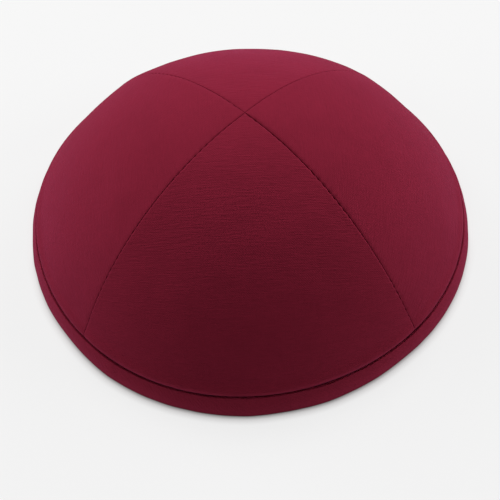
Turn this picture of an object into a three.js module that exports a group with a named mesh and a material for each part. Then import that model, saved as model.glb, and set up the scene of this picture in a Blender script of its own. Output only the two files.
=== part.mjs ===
// A kippah: a soft cloth skullcap sewn from four three-sided panels that meet at its peak, with a
// folded cloth band that binds their lower edges. It rests on the fold at the band's foot.
// Sizes are in millimetres and angles in degrees. +Z is up, and the origin is on the surface that the
// cap rests on, below the middle of its rim. The front, over the wearer's face, is towards -Y.
import * as THREE from 'three';

// The whole cap
const RIM_RADIUS = 82.8; // the band's outer face where it comes down to the surface, on average
const CAP_HEIGHT = 61; // from the surface to the outside of the peak
const CROWN_TURN = 61.5; // how far the crown turns from level at its peak to the seam above the band

// The band
const BAND_HEIGHT = 8; // from the surface to the seam above the band
const BAND_FLARE = 3.15; // how much further out the band is at its foot than at that seam
const BAND_WALL = 1; // the thickness of each side of the fold
const BAND_INSIDE_DROP = 0.9; // how much lower the fold's inner edge is than its outer one
const BAND_FOOT_ROUND = 0.8; // the rounding of the fold where it turns under

// The panels
const PANEL_WALL = 1.2; // the thickness of a panel
const PANEL_ALLOWANCE = 6; // the height of the thicker stretch above the band, where cloth is turned in
const SEAM_ROLL = 1.3; // the width of the rounded edge that each panel has along its side seams
const SEAM_DIP = 0.55; // how far that edge is drawn in at the seam
const RIM_EDGE_ROUND = 0.6; // the rounding of the two edges that meet at the seam above the band
const PEAK_FLATNESS = 0.21; // how far a panel is drawn flat at the peak: 0 is round and 1 a straight chord
const MIDDLE_FLATNESS = 0.185; // the same on the way down, where the crown fades to its round rim

// What keeps the sewn pieces apart
const SEAM_GAP = 0.3; // between two neighbouring panels
const FOLD_GAP = 0.3; // between a panel and the band that is folded round its lower edge

// The side seams in their order round the cap, each with the panel that follows it. angle is where the
// seam meets the rim, from +X towards +Y, and lean is how far the middle of the seam swings from there.
const SEAMS = [
  { panel: 'panel_back', angle: 45, lean: -0.8 },
  { panel: 'panel_left', angle: 132.7, lean: -0.2 },
  { panel: 'panel_front', angle: 222.2, lean: -0.2 },
  { panel: 'panel_right', angle: 315.3, lean: -1.1 },
];

// The rim isn't quite round. Each row is a set of even swells round it: how many there are, how high they
// are as a share of the rim's radius, and the angle of the first one's middle.
const RIM_SWELLS = [
  { count: 2, height: 0.0175, first: 3 },
  { count: 3, height: 0.0087, first: 24.4 },
  { count: 4, height: 0.004, first: 56.8 },
];

// How finely the curved surfaces are divided
const CROWN_ROWS = 16;
const PANEL_COLUMNS = 14;
const ROLL_COLUMNS = 2;
const BAND_COLUMNS = 80;
const CORNER_STEPS = 2;

const rad = THREE.MathUtils.degToRad;
const { lerp, smoothstep } = THREE.MathUtils;
const { asin, atan2, cos, hypot, min, sin, sqrt } = Math;

// Sizes that follow from those above
const turn = rad(CROWN_TURN);
const seamRadius = RIM_RADIUS - BAND_FLARE;
const crownFoot = BAND_HEIGHT + FOLD_GAP;
const tongueEnd = BAND_WALL + FOLD_GAP;
const footRound = min(BAND_FOOT_ROUND, BAND_WALL);
const edgeRound = min(RIM_EDGE_ROUND, BAND_WALL);

// The band leans, so a layer of it is wider when it is measured along the surface.
const across = (thickness) => thickness / sin(atan2(BAND_HEIGHT, BAND_FLARE));
const outerLeaf = across(BAND_WALL);
const tongueOuter = across(BAND_WALL + FOLD_GAP);
const tongueInner = across(BAND_WALL + FOLD_GAP + PANEL_WALL);
const innerLeaf = across(BAND_WALL + PANEL_WALL + 2 * FOLD_GAP);
const bandDepth = across(2 * BAND_WALL + PANEL_WALL + 2 * FOLD_GAP);

// The radius of the band's outer face at a height, before the rim's swells.
const bandFace = (z) => RIM_RADIUS - (BAND_FLARE * z) / BAND_HEIGHT;

// How far the rim's swells move it out at an angle in radians.
function swell(angle) {
  const heights = RIM_SWELLS.map((row) => row.height * cos(row.count * (angle - rad(row.first))));
  return RIM_RADIUS * heights.reduce((sum, height) => sum + height);
}

// A point in the part's frame, from an angle and from a radius and height.
const place = (angle, p) => new THREE.Vector3(p.x * cos(angle), p.x * sin(angle), p.y);

// The crown's outer surface as a radius and a height, at a share of the way from the peak to the rim.
// drawnIn is how far a straight chord between the seams would lie inside a round crown there.
function crownPoint(share, angle, drawnIn) {
  const flatness = (1 - share) * ((1 - share) * PEAK_FLATNESS + 2 * share * MIDDLE_FLATNESS);
  const round = (seamRadius * sin(share * turn)) / sin(turn) + swell(angle) * share ** 2;
  const rise = (cos(share * turn) - cos(turn)) / (1 - cos(turn));
  return new THREE.Vector2(round * (1 - flatness * drawnIn), lerp(crownFoot, CAP_HEIGHT, rise));
}

// The way along the crown there, down towards the rim.
function crownSlope(share, angle, drawnIn) {
  const step = 0.001;
  const [above, below] = [share - step, share + step].map((s) => crownPoint(s, angle, drawnIn));
  return below.sub(above).divideScalar(2 * step);
}

// The share of the way to the rim that is a short length above it.
const aboveRim = (length) => 1 - length / crownSlope(1, 0, 0).length();

// The angle of a side seam at a share of the way down it.
const seamAngle = (seam, share) => rad(seam.angle + seam.lean * 4 * share * (1 - share));

// One row of a panel from its first seam to its second. Each column has its angle, how far a chord would
// lie inside the round crown, and how far the rolled edge draws it in.
function panelColumns(from, to, share, radius) {
  const start = seamAngle(from, share);
  const half = (seamAngle(to, share) - start) / 2;
  const gap = asin(SEAM_GAP / 2 / radius);
  const roll = min(SEAM_ROLL / radius, (half - gap) / 3);
  const edge = Array.from({ length: ROLL_COLUMNS }, (_, i) => i / ROLL_COLUMNS);
  const flat = Array.from({ length: PANEL_COLUMNS + 1 }, (_, i) => i / PANEL_COLUMNS);
  const angles = [
    ...edge.map((x) => gap + roll * x),
    ...flat.map((x) => lerp(gap + roll, 2 * half - gap - roll, x)),
    ...edge.toReversed().map((x) => 2 * half - gap - roll * x),
  ];
  const inFromSeam = [...edge, ...flat.map(() => 1), ...edge.toReversed()];
  const dip = (SEAM_DIP * roll * radius) / SEAM_ROLL;
  return angles.map((a, i) => ({
    angle: start + a,
    drawnIn: 1 - cos(half) / cos(a - half),
    rolledIn: dip * (1 - sqrt(1 - (1 - inFromSeam[i]) ** 2)),
  }));
}

// A closed loop round a panel's wall on the crown: its outer face from seam to seam, then its inner one
// back. The wall gets thicker towards the band, where the cloth is turned in.
function crownLoop(share, columns) {
  const turnedIn = smoothstep(share, aboveRim(PANEL_ALLOWANCE), aboveRim(edgeRound));
  const outer = [];
  const inner = [];
  for (const { angle, drawnIn, rolledIn } of columns) {
    const face = crownPoint(share, angle, drawnIn);
    const slope = crownSlope(share, angle, drawnIn);
    const out = new THREE.Vector2(-slope.y, slope.x).normalize();
    const wall = out.clone().multiplyScalar(PANEL_WALL).lerp(new THREE.Vector2(tongueInner, 0), turnedIn);
    outer.push(place(angle, face.clone().addScaledVector(out, -rolledIn)));
    inner.push(place(angle, face.sub(wall)));
  }
  return [...outer, ...inner.reverse()];
}

// A loop round a panel's wall below the crown, where its faces follow the band's. Each depth is measured
// in from the band's outer face.
function tongueLoop(columns, outerHeight, outerDepth, innerHeight) {
  const at = (angle, height, depth) =>
    place(angle, new THREE.Vector2(bandFace(height) + swell(angle) - depth, height));
  const outer = columns.map((c) => at(c.angle, outerHeight, outerDepth(c)));
  const inner = columns.map((c) => at(c.angle, innerHeight, tongueInner));
  return [...outer, ...inner.reverse()];
}

// Joins loops of equally many points into one closed surface. The first half of a loop is a strip's outer
// side and the rest its inner one. Faces that shrink to a line, as they do at the peak, are left out.
function loftedStrips(loops) {
  const count = loops[0].length;
  const points = loops.flat();
  const index = [];
  const face = (...corners) => {
    const [a, b, c] = corners.map((i) => points[i]);
    if (min(a.distanceTo(b), b.distanceTo(c), c.distanceTo(a)) > 0) index.push(...corners);
  };
  const quad = (a, b, c, d) => {
    face(a, b, c);
    face(a, c, d);
  };
  for (let row = 0; row < loops.length - 1; row++) {
    for (let i = 0; i < count; i++) {
      const [upper, lower] = [row * count, (row + 1) * count];
      const next = (i + 1) % count;
      quad(upper + i, lower + i, lower + next, upper + next);
    }
  }
  const last = (loops.length - 1) * count;
  for (let i = 0; i < count / 2 - 1; i++) {
    const opposite = count - 1 - i;
    quad(i, i + 1, opposite - 1, opposite);
    quad(last + i, last + opposite, last + opposite - 1, last + i + 1);
  }
  const geometry = new THREE.BufferGeometry().setFromPoints(points);
  geometry.setIndex(index);
  geometry.computeVertexNormals();
  return geometry;
}

// One panel of the crown, from the tip where the seams' gaps meet, with the tongue that goes down into the
// band's fold.
function panelGeometry(from, to) {
  const middle = (seamAngle(from, 0) + seamAngle(to, 0)) / 2;
  const tipRadius = SEAM_GAP / 2 / sin(middle - seamAngle(from, 0));
  const tipShare = asin((tipRadius * sin(turn)) / seamRadius) / turn;
  const tip = { angle: middle, drawnIn: 0, rolledIn: 0 };
  const rim = panelColumns(from, to, 1, seamRadius);
  const loops = [crownLoop(tipShare, rim.map(() => tip))];
  for (let row = 1; row <= CROWN_ROWS; row++) {
    const share = lerp(tipShare, aboveRim(edgeRound), row / CROWN_ROWS);
    const radius = crownPoint(share, middle, 0).x;
    loops.push(crownLoop(share, panelColumns(from, to, share, radius)));
  }
  const corner = edgeRound * (1 - Math.SQRT1_2);
  loops.push(
    tongueLoop(rim, crownFoot + corner, (c) => corner + c.rolledIn, crownFoot + corner),
    tongueLoop(rim, crownFoot, (c) => edgeRound + c.rolledIn, crownFoot),
    tongueLoop(rim, crownFoot, () => tongueOuter, crownFoot - edgeRound),
    tongueLoop(rim, tongueEnd, () => tongueOuter, tongueEnd),
  );
  return loftedStrips(loops);
}

// The band: one strip folded up on both sides of the panels' edges, as a section turned round the cap.
function bandGeometry() {
  const inside = BAND_HEIGHT - BAND_INSIDE_DROP;
  const back = (z) => bandFace(z) - bandDepth;
  const section = new THREE.Path();
  section.moveTo(bandFace(0) - footRound, 0);
  section.quadraticCurveTo(bandFace(0), 0, bandFace(footRound), footRound);
  section.lineTo(bandFace(BAND_HEIGHT - edgeRound), BAND_HEIGHT - edgeRound);
  section.quadraticCurveTo(seamRadius, BAND_HEIGHT, seamRadius - edgeRound, BAND_HEIGHT);
  section.lineTo(seamRadius - outerLeaf, BAND_HEIGHT);
  section.lineTo(bandFace(BAND_WALL) - outerLeaf, BAND_WALL);
  section.lineTo(bandFace(BAND_WALL) - innerLeaf, BAND_WALL);
  section.lineTo(bandFace(inside) - innerLeaf, inside);
  section.lineTo(back(inside) + edgeRound, inside);
  section.quadraticCurveTo(back(inside), inside, back(inside - edgeRound), inside - edgeRound);
  section.lineTo(back(footRound), footRound);
  section.quadraticCurveTo(back(0), 0, back(0) + footRound, 0);
  section.closePath();
  const geometry = new THREE.LatheGeometry(section.getPoints(CORNER_STEPS), BAND_COLUMNS);
  geometry.rotateX(Math.PI / 2);
  const position = geometry.getAttribute('position');
  for (let i = 0; i < position.count; i++) {
    const [x, y] = [position.getX(i), position.getY(i)];
    const angle = atan2(y, x);
    const radius = hypot(x, y) + swell(angle);
    position.setXY(i, radius * cos(angle), radius * sin(angle));
  }
  geometry.computeVertexNormals();
  return geometry;
}

function named(name, geometry, material) {
  const mesh = new THREE.Mesh(geometry, material);
  mesh.name = name;
  return mesh;
}

const panelCloth = new THREE.MeshStandardMaterial({ color: 0x7c1a34, roughness: 0.85, metalness: 0 });
const bandCloth = new THREE.MeshStandardMaterial({ color: 0x821c37, roughness: 0.85, metalness: 0 });

const crown = new THREE.Group();
const closingSeam = { ...SEAMS[0], angle: SEAMS[0].angle + 360 };
SEAMS.forEach((seam, i) => {
  const geometry = panelGeometry(seam, SEAMS[i + 1] ?? closingSeam);
  crown.add(named(seam.panel, geometry, panelCloth));
});

const kippah = new THREE.Group();
kippah.add(crown, named('rim_band', bandGeometry(), bandCloth));

export default kippah;
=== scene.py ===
"""The looks of a burgundy cotton kippah: four sewn panels and a folded band round its rim.

The shape functions work in millimetres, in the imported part's frame: +Z up, the front towards -Y, and
the origin on the surface under the middle of the rim. A mesh turns their points into metres.
"""

import math
from types import SimpleNamespace

import bpy
import numpy as np
from mathutils import Matrix, Vector, noise


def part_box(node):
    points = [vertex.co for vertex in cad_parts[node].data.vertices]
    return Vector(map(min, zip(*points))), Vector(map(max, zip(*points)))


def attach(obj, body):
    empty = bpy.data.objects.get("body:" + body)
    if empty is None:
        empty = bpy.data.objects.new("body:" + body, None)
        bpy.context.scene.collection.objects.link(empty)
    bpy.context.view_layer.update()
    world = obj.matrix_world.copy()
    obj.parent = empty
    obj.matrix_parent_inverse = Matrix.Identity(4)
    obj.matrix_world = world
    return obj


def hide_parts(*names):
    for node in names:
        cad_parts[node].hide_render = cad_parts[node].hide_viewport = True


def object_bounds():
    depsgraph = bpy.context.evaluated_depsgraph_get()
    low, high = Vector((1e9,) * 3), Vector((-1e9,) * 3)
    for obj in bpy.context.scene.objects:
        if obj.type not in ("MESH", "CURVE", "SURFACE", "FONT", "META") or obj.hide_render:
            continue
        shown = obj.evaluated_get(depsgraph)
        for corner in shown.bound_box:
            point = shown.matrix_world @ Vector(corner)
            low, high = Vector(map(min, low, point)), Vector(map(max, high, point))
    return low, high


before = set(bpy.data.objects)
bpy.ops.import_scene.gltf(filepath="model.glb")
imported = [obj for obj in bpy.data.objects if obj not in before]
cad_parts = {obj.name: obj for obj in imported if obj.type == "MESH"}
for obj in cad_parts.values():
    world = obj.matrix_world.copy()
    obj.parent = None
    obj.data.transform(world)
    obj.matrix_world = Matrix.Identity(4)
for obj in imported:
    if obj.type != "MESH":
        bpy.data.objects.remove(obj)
cad_low, cad_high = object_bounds()

MM = 0.001  # a millimetre in metres

# The crown's form, in mm and degrees
CAP_HEIGHT = cad_high.z / MM
SOLID_BAND_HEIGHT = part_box("rim_band")[1].z / MM
BAND_HEIGHT = SOLID_BAND_HEIGHT - 0.45  # the cloth fold stays a little below the solid's top
RIM_RADIUS = 82.8  # the band's outer face where it comes down to the surface, on average
BAND_FLARE = 2.6  # how much further out the band is at its foot than at its top edge
SEAM_RADIUS = 79.65  # the crown's foot
CROWN_TURN = math.radians(61.5)  # how far the crown turns from its peak to its foot
PEAK_FLATNESS = 0.21  # how far a panel is drawn flat at the peak, 1 being a straight chord
MIDDLE_FLATNESS = 0.185  # the same on the way down, where it fades to the round rim

# Each side seam: the panel that follows it, its angle at the rim, how far its middle swings, how deep in
# mm it is drawn in near the peak and at the rim, and how far from its seams that panel starts to turn in
SEAMS = [
    ("panel_back", 45.0, -0.8, (0.14, 0.06), 1.2),
    ("panel_left", 132.7, -0.2, (0.3, 0.08), 1.5),
    ("panel_front", 222.2, -0.2, (0.34, 0.12), 0.7),
    ("panel_right", 315.3, -1.1, (0.7, 0.15), 1.8),
]
# The rim's swells: how many, how high as a share of its radius, and the first one's angle
RIM_SWELLS = [(2, 0.0175, 3.0), (3, 0.0087, 24.4), (4, 0.004, 56.8)]
# Places where the band's foot stands further out: the angle, how far in mm, and how many degrees wide
FOOT_SHIFTS = [(216, -0.6, 9), (268, 0.4, 24), (312, -0.55, 9)]

# Cloth and sewing, in mm
PANEL_WALL = 1.2
BAND_WALL = 1.0  # each side of the fold
FOLD_GAP = 0.3  # between a panel's edge and the fold round it
SEAM_GAP = 0.13  # between the two panels at a seam
STITCH = 2.7  # from one stitch to the next
STITCH_PUCKER = 0.5  # how much the stitches vary the seam's depth and its gap, as a share of them
ALLOWANCE = 6.0  # the width of the turned-in edges inside, along the side seams
ALLOWANCE_WALL = 0.4  # and how much thickness they add
RIM_TURN = 6.0  # the height of the turned-in edge inside, above the band
CROWN_PUFF = 0.5  # how far the crown's lower edge bulges over the band
CROWN_EDGE_ROLL = 1.8  # how far above its foot the edge starts to turn in
CROWN_EDGE_TURN = 0.31  # and how far it has turned in at the foot
WAVE_HEIGHT = 0.2  # the soft unevenness of the panels
WAVE_LENGTH = 26.0
BAND_INSIDE_DROP = 0.9  # how much lower the fold's inner edge is than its outer one
BAND_EDGE_ROLL = 0.16  # the rounding of the band's top edge
BAND_EDGE_WALL = 0.8  # how thin its cloth is drawn there by the stitches behind it
BAND_FOOT_ROLL = 0.6  # the rounding of the fold at its foot
BAND_HOLLOW = -0.4  # how far the band's face is hollowed, so that it flares at its foot
BAND_WAVE = 0.14  # the unevenness of the band
JOIN_ANGLE = math.radians(97)  # where the ends of the band's strip are sewn together, at the back

# How finely the meshes are divided
CROWN_STEP = 0.62  # between a panel's rows
MIDDLE_COLUMNS = 44  # across a panel, between the stretches along its seams
BAND_COLUMNS = 540
SEAM_COLUMNS = [0, 0.05, 0.12, 0.24, 0.4, 0.6, 0.84, 1.12, 1.5, 2.1, 3, 4.2, 5.3, 5.8, 6.1, 6.5, 7.4]

# The studio's soft lights: name, azimuth and elevation in degrees, and power in watts
LIGHTS = [
    ("behind", 90, 55, 11.7),
    ("behind_left", 135, 30, 7.4),
    ("behind_right", 45, 30, 6.1),
    ("left", 180, 24, 7.0),
    ("right", 0, 24, 8.1),
]
LIGHT_DISTANCE = 1.5  # in metres
LIGHT_SIZE = 0.7
ROOM_LIGHT = 0.01
ROOM_SEEN = 0.765

CROWN_FOOT = SOLID_BAND_HEIGHT + 0.1
BAND_SLANT = math.hypot(BAND_HEIGHT, BAND_FLARE) / BAND_HEIGHT  # widens a layer measured level


def swell(angle):
    """How far the rim's swells move it out."""
    return RIM_RADIUS * sum(h * np.cos(n * (angle - math.radians(first))) for n, h, first in RIM_SWELLS)


def crown(share, angle, drawn_in):
    """The smooth crown's radius and height at a share of the way from its peak to its foot."""
    flatness = (1 - share) * ((1 - share) * PEAK_FLATNESS + 2 * share * MIDDLE_FLATNESS)
    radius = SEAM_RADIUS * np.sin(share * CROWN_TURN) / math.sin(CROWN_TURN) + swell(angle) * share**2
    rise = (np.cos(share * CROWN_TURN) - math.cos(CROWN_TURN)) / (1 - math.cos(CROWN_TURN))
    return radius * (1 - flatness * drawn_in), CROWN_FOOT + (CAP_HEIGHT - CROWN_FOOT) * rise


def crown_out(share, angle, drawn_in):
    """The outward direction there, as its level and upright parts."""
    step = 0.001
    r0, z0 = crown(share - step, angle, drawn_in)
    r1, z1 = crown(share + step, angle, drawn_in)
    length = np.hypot(r1 - r0, z1 - z0)
    return (z0 - z1) / length, (r1 - r0) / length


def band_face(height):
    """The radius of the band's outer face, before the rim's swells."""
    return RIM_RADIUS - BAND_FLARE * height / BAND_HEIGHT


def quarter(x):
    """Falls from 1 at 0 to 0 at 1 as a quarter of a circle does, upright at 0."""
    x = np.clip(x, 0, 1)
    return 1 - np.sqrt(1 - (1 - x) ** 2)


def smooth(x, low, high):
    """Rises smoothly from 0 at low to 1 at high."""
    x = np.clip((x - low) / (high - low), 0, 1)
    return x * x * (3 - 2 * x)


def waves(points, length, seed):
    """Smooth noise from about -1 to 1 that changes over a length in mm."""
    flat = points.reshape(-1, 3) / length + seed * 17.3
    return np.array([noise.noise(Vector(p)) for p in flat]).reshape(points.shape[:-1]) * 1.8


def place(angle, radius, height):
    """Points in the part's frame."""
    return np.stack(np.broadcast_arrays(radius * np.cos(angle), radius * np.sin(angle), height), -1)


def meridian():
    """Shares, and the length along the smooth crown from its peak down to each."""
    shares = np.linspace(0, 1, 400)
    radius, height = crown(shares, 0.0, 0.0)
    steps = np.hypot(np.diff(radius), np.diff(height))
    return shares, np.concatenate([[0], np.cumsum(steps)])


SHARES, DOWN = meridian()
CROWN_LENGTH = DOWN[-1]


def seam_line(seam, share, down):
    """A seam's angle, depth and stitches at each row. The stitches go from about -1 to 1, and draw the
    cloth in most at 1."""
    _, angle, swing, (peak_depth, rim_depth), _ = seam
    line = np.radians(angle + swing * 4 * share * (1 - share))
    depth = peak_depth + (rim_depth - peak_depth) * share
    beat = np.cos(2 * math.pi * down / STITCH + angle) * (0.6 + 0.4 * np.sin(down / 7.3 + 2 * angle))
    return line, depth, beat * smooth(down, 1, 4)


def panel_grid(start_seam, end_seam):
    """A panel's rows and columns of points, as arrays of what the shape needs to know at each point."""
    half_width = math.radians(end_seam[1] - start_seam[1]) / 2
    tip = SEAM_GAP / 2 / math.sin(half_width)
    edge_rows = CROWN_LENGTH - np.array([0, 0.04, 0.12, 0.25, 0.42, 0.64, 0.9, 1.25])
    plain_rows = np.arange(CROWN_LENGTH - 1.8, 4 * tip, -CROWN_STEP)
    near_tip = [3 * tip, 2 * tip, tip]
    down = np.sort(np.concatenate([edge_rows, plain_rows, near_tip]))[:, None]
    share = np.interp(down, DOWN, SHARES)
    start, start_depth, start_beat = seam_line(start_seam, share, down)
    end, end_depth, end_beat = seam_line(end_seam, share, down)
    half = (end - start) / 2
    radius = crown(share, 0.0, 0.0)[0]
    open_at_start = SEAM_GAP * (1 + STITCH_PUCKER * start_beat) / 2
    open_at_end = SEAM_GAP * (1 + STITCH_PUCKER * end_beat) / 2
    start_gap = np.arcsin(np.clip(open_at_start / radius, 0, np.sin(half)))
    end_gap = np.arcsin(np.clip(open_at_end / radius, 0, np.sin(half)))
    width = (2 * half - start_gap - end_gap) * radius
    edge = np.array(SEAM_COLUMNS)[None, :] * np.minimum(1, width / 3 / SEAM_COLUMNS[-1])
    inner = np.linspace(0, 1, MIDDLE_COLUMNS + 2)[None, 1:-1]
    middle = edge[:, -1:] + (width - 2 * edge[:, -1:]) * inner
    along = np.concatenate([edge, middle, width - edge[:, ::-1]], axis=1)
    angle = start + start_gap + along / radius
    near_start = along < width / 2
    return SimpleNamespace(
        share=share,
        down=down,
        angle=angle,
        # On the inner face neighbouring panels meet, so that nothing shows through a seam.
        inner_angle=start + 2 * half * along / width,
        drawn_in=1 - np.cos(half) / np.cos(angle - start - half),
        from_seam=np.minimum(along, width - along),
        seam_depth=np.where(near_start, start_depth, end_depth),
        beat=np.where(near_start, start_beat, end_beat),
    )


def cloth_coordinates(points, middle):
    """Where points lie on the flat cut cloth, in mm: across the panel, and down its middle line. The
    weave's threads run along these two, parallel and square to the panel's lower edge."""
    ahead = points[..., 0] * math.cos(middle) + points[..., 1] * math.sin(middle)
    across = points[..., 1] * math.cos(middle) - points[..., 0] * math.sin(middle)
    line_radius, line_height = crown(SHARES, middle, 0.0)
    away = (ahead[..., None] - line_radius) ** 2 + (points[..., 2][..., None] - line_height) ** 2
    return np.stack([across, DOWN[np.argmin(away, axis=-1)], np.zeros_like(across)], -1)


def panel_loops(seam, next_seam, seed):
    """A panel's closed loops from its tip to the end of its tongue in the band's fold, as outer points
    and inner points, with the cloth coordinates of both."""
    grid = panel_grid(seam, next_seam)
    angle, from_seam = grid.angle, grid.from_seam
    radius, height = crown(grid.share, angle, grid.drawn_in)
    out_level, out_up = crown_out(grid.share, angle, grid.drawn_in)
    to_foot = CROWN_LENGTH - grid.down
    base = place(angle, radius, height)

    # Near a seam the cloth turns in, and the stitches draw it in a little more at each hole.
    room = np.minimum(seam[4], 0.45 * (from_seam.max(axis=1, keepdims=True) + 0.01))
    pucker = 1 + STITCH_PUCKER * grid.beat
    turn = grid.seam_depth * np.sqrt(room / seam[4]) * pucker * quarter(from_seam / room)
    tug = 0.05 * grid.beat * np.exp(-from_seam / 1.6)
    wave = WAVE_HEIGHT * waves(base, WAVE_LENGTH, seed) + 0.05 * waves(base, 8.0, seed + 5)
    wave = wave * smooth(from_seam, 0, 9) * smooth(to_foot, 0, 7)
    puff = CROWN_PUFF * np.exp(-(((to_foot - 1.9) / 1.9) ** 2)) * (0.7 + 0.3 * smooth(from_seam, 0, 5))
    lift = wave + puff - turn - tug

    roll = CROWN_EDGE_TURN * np.clip(1 - to_foot / CROWN_EDGE_ROLL, 0, 1) ** 2
    outer = place(angle, radius + out_level * lift - roll, height + out_up * lift)

    turned = smooth(to_foot, RIM_TURN, 0.5)
    allowance = ALLOWANCE_WALL * (1 - smooth(from_seam, ALLOWANCE - 0.3, ALLOWANCE + 0.3))
    wall = PANEL_WALL + allowance * (1 - turned) - 0.5 * wave
    tongue_inner = BAND_SLANT * (BAND_WALL + FOLD_GAP + PANEL_WALL)
    inner = place(
        grid.inner_angle,
        radius - out_level * wall * (1 - turned) - tongue_inner * turned,
        height - out_up * wall * (1 - turned),
    )

    # Below the crown's foot the wall goes on down as a tongue inside the band's fold.
    foot_angle, foot_inner = angle[-1], grid.inner_angle[-1]
    tongue_end = BAND_WALL + 2 * FOLD_GAP
    behind_face = band_face(CROWN_FOOT) - SEAM_RADIUS
    deepest = BAND_SLANT * (BAND_WALL + FOLD_GAP)
    for below in [0.35, 0.8, 1.4, 2.2, 4.2, CROWN_FOOT - tongue_end]:
        height = CROWN_FOOT - below
        level = band_face(height) - behind_face + swell(foot_angle)
        tucked = CROWN_EDGE_TURN + (deepest - CROWN_EDGE_TURN) * smooth(below, 0, 2.0)
        outer = np.concatenate([outer, place(foot_angle, level - tucked, height)[None]])
        inner = np.concatenate([inner, place(foot_inner, level - tongue_inner, height - 0.02)[None]])
    return outer, inner


def mesh_object(name, points, faces, cloth, material):
    """A piece with smooth shading, its sharp edges kept, and its cloth coordinates as an attribute."""
    mesh = bpy.data.meshes.new(name)
    mesh.from_pydata((points * MM).tolist(), [], faces)
    mesh.validate()
    mesh.update()
    attribute = mesh.attributes.new("cloth", "FLOAT_VECTOR", "POINT")
    attribute.data.foreach_set("vector", cloth.astype(np.float32).ravel())
    mesh.shade_smooth()
    mesh.set_sharp_from_angle(angle=math.radians(50))
    mesh.materials.append(material)
    piece = bpy.data.objects.new(name, mesh)
    bpy.context.scene.collection.objects.link(piece)
    return piece


def ring_faces(loops, closed_ends):
    """Faces between loops of point numbers, going down, and across the last loop. A face whose corners
    meet, as at a tip, loses them."""
    faces = []
    rows, count = loops.shape
    for row in range(rows - 1):
        upper, lower = loops[row], loops[row + 1]
        for i in range(count):
            corners = [upper[i], lower[i], lower[(i + 1) % count], upper[(i + 1) % count]]
            corners = list(dict.fromkeys(int(c) for c in corners))
            if len(corners) > 2:
                faces.append(corners)
    if closed_ends:
        last = loops[-1].tolist()
        for i in range(count // 2 - 1):
            faces.append([last[i], last[-1 - i], last[-2 - i], last[i + 1]])
    return faces


def make_panel(seam, next_seam, seed, material):
    """One panel as a closed shell, with its outer and inner faces joined along every edge."""
    outer, inner = panel_loops(seam, next_seam, seed)
    middle = math.radians((seam[1] + next_seam[1]) / 2)
    loops = np.concatenate([outer, inner[:, ::-1]], axis=1)
    rows, count = loops.shape[:2]
    numbers = np.arange(rows * count).reshape(rows, count)
    half = count // 2
    loops[0, :half] = loops[0, :half].mean(axis=0)
    loops[0, half:] = (0, 0, loops[0, half:, 2].mean())
    numbers[0, :half] = 0
    numbers[0, half:] = half
    used, packed = np.unique(numbers, return_inverse=True)
    points = loops.reshape(-1, 3)[used]
    cloth = cloth_coordinates(points, middle)
    cloth[:, 2] = seed * 31.0
    faces = ring_faces(packed.reshape(rows, count), True)
    panel = mesh_object(seam[0] + "_cloth", points, faces, cloth, material)
    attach(panel, "root")
    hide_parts(seam[0])
    return panel


def arc(centre, size, start, end, steps):
    """Points on an ellipse about centre, from one angle to another in degrees."""
    a = np.radians(np.linspace(start, end, steps))
    return [(centre[0] + size[0] * math.cos(x), centre[1] + size[1] * math.sin(x)) for x in a]


def band_section():
    """The band's closed outline as depths behind its straight outer face and heights, from the top of its
    outer leaf down the face, round the foot, up the inner leaf, and back through the fold."""
    outer_leaf = BAND_SLANT * BAND_WALL
    behind_face = band_face(CROWN_FOOT) - SEAM_RADIUS
    fold_inner = behind_face + BAND_SLANT * (BAND_WALL + PANEL_WALL + 2 * FOLD_GAP)
    depth = fold_inner + BAND_SLANT * BAND_WALL
    inside = BAND_HEIGHT - BAND_INSIDE_DROP
    top, foot = BAND_EDGE_ROLL, BAND_FOOT_ROLL
    points = arc((top, BAND_HEIGHT - top), (top, top), 90, 180, 7)
    heights = np.linspace(BAND_HEIGHT - top, foot, 22)[1:-1]
    hollow = np.sin(math.pi * (heights - foot) / (BAND_HEIGHT - top - foot))
    points += list(zip(BAND_HOLLOW * hollow, heights))
    points += arc((foot, foot), (foot, foot), 180, 270, 9)
    points += arc((depth - foot, foot), (foot, foot), 270, 360, 9)
    points += [(depth, h) for h in np.linspace(foot, inside - 0.5, 12)[1:-1]]
    points += arc((depth - 0.5, inside - 0.5), (0.5, 0.5), 0, 90, 6)
    points += [(fold_inner, inside - 0.15)]
    points += [(fold_inner, h) for h in np.linspace(inside - 1, BAND_WALL + 0.2, 8)]
    points += [(outer_leaf + 0.3, h) for h in np.linspace(BAND_WALL + 0.2, BAND_HEIGHT - 1.8, 7)]
    points += [(outer_leaf + 0.2, BAND_HEIGHT - 1.0), (0.8 * outer_leaf, BAND_HEIGHT - 0.5)]
    points += [(BAND_EDGE_WALL, BAND_HEIGHT - 0.12)]
    return np.array(points)


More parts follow.
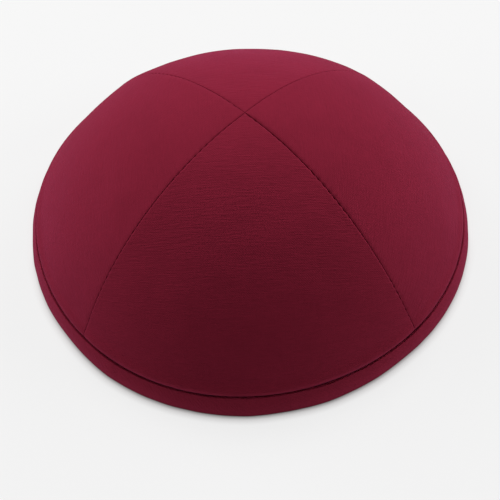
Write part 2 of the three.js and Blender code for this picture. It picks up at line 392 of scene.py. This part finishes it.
def make_band(material):
    """The folded strip that binds the panels' lower edges."""
    section = band_section()
    depth, height = section[None, :, 0], section[None, :, 1]
    angle = np.linspace(0, 2 * math.pi, BAND_COLUMNS, endpoint=False)[:, None]
    round_rim = place(angle, RIM_RADIUS, 0.0)
    up = np.clip(height / BAND_HEIGHT, 0, 1)
    sway = BAND_WAVE * (waves(round_rim, 17.0, 3) + 0.5 * waves(round_rim, 6.0, 4))
    rise = BAND_WAVE * (waves(round_rim, 13.0, 8) + 0.4 * waves(round_rim, 5.0, 9))
    outer_share = smooth(-depth, -2.0, 0.5)
    along = (angle - JOIN_ANGLE) * RIM_RADIUS
    join = 0.45 * quarter(np.abs(along) / 0.8)
    radius = band_face(height) + swell(angle) - depth + sway * (0.35 + 0.65 * outer_share)
    radius = radius - join * np.where(depth < 1.6, 1, -0.6)
    for middle, shift, width in FOOT_SHIFTS:
        apart = np.degrees(np.arccos(np.cos(angle - math.radians(middle))))
        radius = radius + shift * np.exp(-((apart / width) ** 2)) * (1 - up) * outer_share
    foot_lift = 0.06 * (1 + waves(round_rim, 21.0, 11)) * (1 - up) ** 3
    lifted = height + 0.6 * rise * up**3 + np.maximum(foot_lift, 0.01)
    points = place(angle, radius, lifted)
    rows, count = points.shape[:2]
    numbers = np.arange(rows * count).reshape(rows, count)
    faces = ring_faces(np.concatenate([numbers, numbers[:1]])[::-1], False)

    # The strip is cut on the bias, so its threads run slantwise.
    steps = np.hypot(*np.diff(section, axis=0).T)
    down = np.concatenate([[0], np.cumsum(steps)])[None, :]
    level = angle * RIM_RADIUS
    cloth = np.stack([(level + down) / math.sqrt(2), (level - down) / math.sqrt(2), level * 0 + down * 0], -1)
    band = mesh_object("rim_band_cloth", points.reshape(-1, 3), faces, cloth.reshape(-1, 3), material)
    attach(band, "root")
    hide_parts("rim_band")
    return band


class Nodes:
    """Adds nodes to a material's tree and links their inputs."""

    def __init__(self, material):
        material.use_nodes = True
        self.tree = material.node_tree
        self.shader = self.tree.nodes["Principled BSDF"]

    def add(self, kind, inputs=(), **settings):
        node = self.tree.nodes.new(kind)
        for key, value in settings.items():
            setattr(node, key, value)
        for key, value in dict(inputs).items():
            self.set(node.inputs[key], value)
        return node.outputs[0]

    def set(self, socket, value):
        if isinstance(value, bpy.types.NodeSocket):
            self.tree.links.new(value, socket)
        else:
            socket.default_value = value

    def math(self, operation, *values):
        return self.add("ShaderNodeMath", dict(enumerate(values)), operation=operation)

    def noise(self, vector, sizes, detail=2.0):
        """Noise from 0 to 1 on cloth coordinates, with features of the given sizes in mm."""
        scale = [1 / size for size in sizes]
        scaled = self.add("ShaderNodeVectorMath", {0: vector, 1: scale}, operation="MULTIPLY")
        return self.add("ShaderNodeTexNoise", {"Vector": scaled, "Scale": 1.0, "Detail": detail})

    def spread(self, value, low, high):
        """Takes noise's middle range to a range from low to high."""
        inputs = {"Value": value, "From Min": 0.3, "From Max": 0.7, "To Min": low, "To Max": high}
        return self.add("ShaderNodeMapRange", inputs)


def cotton(name, colour):
    """Plain-woven burgundy cotton, with slubby weft threads, fainter warp threads and a soft bloom."""
    material = bpy.data.materials.new(name)
    n = Nodes(material)
    cloth = n.add("ShaderNodeAttribute", attribute_name="cloth")
    cloth = cloth.node.outputs["Vector"]
    weft = n.noise(cloth, (4.2, 0.5, 9.0), 2.0)
    warp = n.noise(cloth, (0.38, 4.0, 9.0), 2.0)
    cloud = n.noise(cloth, (14.0, 14.0, 14.0), 2.0)

    # The weave: threads go over and under each other, 0.42 mm apart across and 0.38 mm apart down.
    parts = n.add("ShaderNodeSeparateXYZ", {0: cloth}).node.outputs
    over = n.math("SINE", n.math("MULTIPLY", parts[0], math.pi / 0.38))
    under = n.math("SINE", n.math("MULTIPLY", parts[1], math.pi / 0.42))
    weave = n.math("MULTIPLY", over, under)

    shade = n.math("MULTIPLY", n.spread(weft, 0.965, 1.035), n.spread(warp, 0.97, 1.03))
    shade = n.math("MULTIPLY", shade, n.spread(cloud, 0.97, 1.03))
    tint = n.add("ShaderNodeVectorMath", {0: colour, "Scale": shade}, operation="SCALE")
    n.set(n.shader.inputs["Base Color"], tint)

    height = n.math("ADD", n.math("MULTIPLY", weft, 1.55), n.math("MULTIPLY", warp, 0.4))
    height = n.math("ADD", height, n.math("MULTIPLY", weave, 0.2))
    bump = n.add("ShaderNodeBump", {"Height": height, "Strength": 1.0, "Distance": 0.00012})
    n.set(n.shader.inputs["Normal"], bump)
    rough = n.spread(weft, 0.82, 0.88)
    n.set(n.shader.inputs["Roughness"], rough)
    n.shader.inputs["Specular IOR Level"].default_value = 0.01
    n.shader.inputs["Sheen Weight"].default_value = 0.085
    n.shader.inputs["Sheen Roughness"].default_value = 0.5
    n.shader.inputs["Sheen Tint"].default_value = (1.0, 0.3, 0.79, 1.0)
    return material


def pale_surface_with_painted_shadow():
    """A pale surface, most of whose brightness is a painted glow that keeps shadows on it soft; round the
    cap's foot the glow fades in a painted shadow.
    """
    material = bpy.data.materials.new("pale_surface_with_painted_shadow")
    n = Nodes(material)
    n.shader.inputs["Base Color"].default_value = (0.15, 0.15, 0.15, 1)
    n.shader.inputs["Roughness"].default_value = 0.8
    n.shader.inputs["Specular IOR Level"].default_value = 0.1
    # A painted shadow: round the cap's foot the glow is faded by ambient occlusion, over a wider and a
    # tighter reach.
    painted_shadow_open_share = n.add("ShaderNodeAmbientOcclusion", {"Distance": 0.0034}).node.outputs["AO"]
    painted_shadow_core = n.add("ShaderNodeAmbientOcclusion", {"Distance": 0.0013}).node.outputs["AO"]
    across = n.add("ShaderNodeNewGeometry").node.outputs["Position"]
    towards_back = n.add("ShaderNodeSeparateXYZ", {0: across}).node.outputs[1]
    # The painted shadow is strongest in front of the cap and almost gone beside and behind it, as light from
    # behind would cast it.
    inputs = {"Value": towards_back, "From Min": -0.078, "From Max": -0.01, "To Min": 1.25, "To Max": 0.04}
    depth = n.add("ShaderNodeMapRange", inputs)
    painted_shadow_open_share = n.math("MULTIPLY", painted_shadow_open_share, painted_shadow_core)
    painted_glow_and_shadow = n.math("MULTIPLY", n.math("POWER", painted_shadow_open_share, depth), 0.762)
    n.set(n.shader.inputs["Emission Strength"], painted_glow_and_shadow)
    # Painted bounce light: in the painted shadow the glow turns a touch redder, as light come off the red
    # cloth would.
    painted_shadow_warmth = {"Value": painted_shadow_open_share, "From Min": 0.2, "From Max": 1.0, "To Min": 0.955, "To Max": 1.0}
    painted_shadow_green_blue = n.add("ShaderNodeMapRange", painted_shadow_warmth)
    colour = n.add("ShaderNodeCombineXYZ", {0: 1.0, 1: painted_shadow_green_blue, 2: painted_shadow_green_blue})
    n.set(n.shader.inputs["Emission Color"], colour)
    return material


def make_stage():
    """A pale surface, with a painted shadow in its glow round the cap's foot."""
    size = 4.0
    corners = [(-size, -size, 0), (size, -size, 0), (size, size, 0), (-size, size, 0)]
    mesh = bpy.data.meshes.new("floor")
    mesh.from_pydata(corners, [], [(0, 1, 2, 3)])
    mesh.materials.append(pale_surface_with_painted_shadow())
    floor = bpy.data.objects.new("floor", mesh)
    bpy.context.scene.collection.objects.link(floor)


def studio_light(name, azimuth, elevation, power):
    """A round soft light, aimed at the cap from a direction given in degrees, 90 being behind it."""
    azimuth, elevation = math.radians(azimuth), math.radians(elevation)
    level = math.cos(elevation)
    towards = Vector((level * math.cos(azimuth), level * math.sin(azimuth), math.sin(elevation)))
    data = bpy.data.lights.new(name, "AREA")
    data.shape = "DISK"
    data.size = LIGHT_SIZE
    data.energy = power
    light = bpy.data.objects.new(name, data)
    light.location = towards * LIGHT_DISTANCE
    light.rotation_mode = "QUATERNION"
    light.rotation_quaternion = towards.to_track_quat("Z", "Y")
    bpy.context.scene.collection.objects.link(light)


def make_lights():
    """Soft light from behind and from both sides, in a pale room that is seen but adds little light."""
    for name, azimuth, elevation, power in LIGHTS:
        studio_light(name, azimuth, elevation, power)
    world = bpy.data.worlds.new("room")
    world.use_nodes = True
    tree = world.node_tree
    seen = tree.nodes.new("ShaderNodeLightPath").outputs["Is Camera Ray"]
    strength = tree.nodes.new("ShaderNodeMapRange")
    strength.inputs["To Min"].default_value = ROOM_LIGHT
    strength.inputs["To Max"].default_value = ROOM_SEEN
    tree.links.new(seen, strength.inputs["Value"])
    tree.links.new(strength.outputs["Result"], tree.nodes["Background"].inputs["Strength"])
    tree.nodes["Background"].inputs["Color"].default_value = (1, 1, 1, 1)
    bpy.context.scene.world = world


def make_camera():
    """The photograph's view: 55.5 degrees above the surface, from the front."""
    elevation = math.radians(55.51)
    roll = math.radians(-2.115)
    distance = 366.0 * MM
    above = -11.4 * MM  # how far the view's middle is above the origin, measured in the picture's plane
    data = bpy.data.cameras.new("camera")
    data.sensor_width = 36.0
    data.lens = 68.04
    camera = bpy.data.objects.new("camera", data)
    back = Vector((0, -math.cos(elevation), math.sin(elevation)))
    up = Vector((0, math.sin(elevation), math.cos(elevation)))
    right = Vector((1, 0, 0))
    rolled_right = right * math.cos(roll) + up * math.sin(roll)
    rolled_up = up * math.cos(roll) - right * math.sin(roll)
    axes = Matrix((rolled_right, rolled_up, back)).transposed()
    camera.matrix_world = Matrix.Translation(up * above + back * distance) @ axes.to_4x4()
    bpy.context.scene.collection.objects.link(camera)
    bpy.context.scene.camera = camera


make_camera()
make_lights()
make_stage()

panel_cloth = cotton("panel_cotton", (0.226, 0.0147, 0.0337))
band_cloth = cotton("band_cotton", (0.234, 0.0155, 0.0352))
closing_seam = (SEAMS[0][0], SEAMS[0][1] + 360, *SEAMS[0][2:])
for index, seam in enumerate(SEAMS):
    panel = make_panel(seam, (SEAMS + [closing_seam])[index + 1], index + 1, panel_cloth)
band = make_band(band_cloth)

bpy.context.scene.view_settings.view_transform = "Standard"
